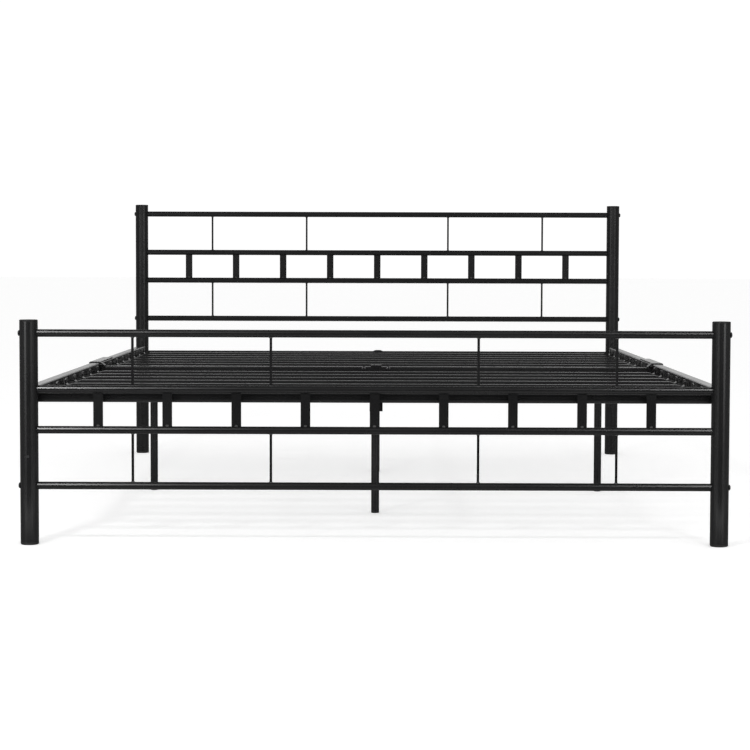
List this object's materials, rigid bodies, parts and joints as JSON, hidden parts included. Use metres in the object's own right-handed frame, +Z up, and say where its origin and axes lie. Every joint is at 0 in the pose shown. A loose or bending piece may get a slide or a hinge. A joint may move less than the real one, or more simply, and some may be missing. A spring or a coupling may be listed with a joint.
{
  "type": "metal bed frame",
  "caption": "Black steel bed frame with round posts, barred head and foot panels, steel slats and a centre beam on its own legs, for carrying a mattress.",
  "frame": {"origin": "on the floor, under the middle of the frame's bounding box", "axes": "+X across the bed to the right seen from the foot end, +Y from the low foot end to the high head end, +Z up"},
  "size_m": [1.4746, 2.0778, 0.755],
  "materials": {
    "powder_coated_steel": "satin black powder coat",
    "black_plastic": "matt black plastic",
    "black_fastener": "semi-gloss black"
  },
  "bodies": {
    "root": {"foot_left_post": "powder_coated_steel", "foot_left_post_cap": "black_plastic", "foot_left_post_foot": "black_plastic", "foot_left_top_bolt": "black_fastener", "foot_left_bottom_bolt": "black_fastener", "foot_right_post": "powder_coated_steel", "foot_right_post_cap": "black_plastic", "foot_right_post_foot": "black_plastic", "foot_right_top_bolt": "black_fastener", "foot_right_bottom_bolt": "black_fastener", "foot_panel_top_rail": "powder_coated_steel", "foot_panel_bar_ladder": "powder_coated_steel", "foot_panel_bottom_rail": "powder_coated_steel", "foot_end_rail": "powder_coated_steel", "head_left_post": "powder_coated_steel", "head_left_post_cap": "black_plastic", "head_left_post_foot": "black_plastic", "head_left_top_bolt": "black_fastener", "head_left_bottom_bolt": "black_fastener", "head_right_post": "powder_coated_steel", "head_right_post_cap": "black_plastic", "head_right_post_foot": "black_plastic", "head_right_top_bolt": "black_fastener", "head_right_bottom_bolt": "black_fastener", "head_panel_top_rail": "powder_coated_steel", "head_panel_bar_ladder": "powder_coated_steel", "head_panel_bottom_rail": "powder_coated_steel", "head_end_rail": "powder_coated_steel", "left_rail_foot_half": "powder_coated_steel", "left_rail_head_half": "powder_coated_steel", "left_rail_connector": "powder_coated_steel", "cross_left_leg": "powder_coated_steel", "cross_left_leg_foot": "black_plastic", "right_rail_foot_half": "powder_coated_steel", "right_rail_head_half": "powder_coated_steel", "right_rail_connector": "powder_coated_steel", "cross_right_leg": "powder_coated_steel", "cross_right_leg_foot": "black_plastic", "cross_beam": "powder_coated_steel", "cross_beam_bracket": "powder_coated_steel", "centre_beam_foot_half": "powder_coated_steel", "centre_beam_head_half": "powder_coated_steel", "centre_foot_leg": "powder_coated_steel", "centre_foot_leg_foot": "black_plastic", "centre_head_leg": "powder_coated_steel", "centre_head_leg_foot": "black_plastic", "slat_01": "powder_coated_steel", "slat_02": "powder_coated_steel", "slat_03": "powder_coated_steel", "slat_04": "powder_coated_steel", "slat_05": "powder_coated_steel", "slat_06": "powder_coated_steel", "slat_07": "powder_coated_steel", "slat_09": "powder_coated_steel", "slat_10": "powder_coated_steel", "slat_11": "powder_coated_steel", "slat_12": "powder_coated_steel", "slat_13": "powder_coated_steel", "slat_14": "powder_coated_steel", "slat_15": "powder_coated_steel"}
  },
  "joints": []
}
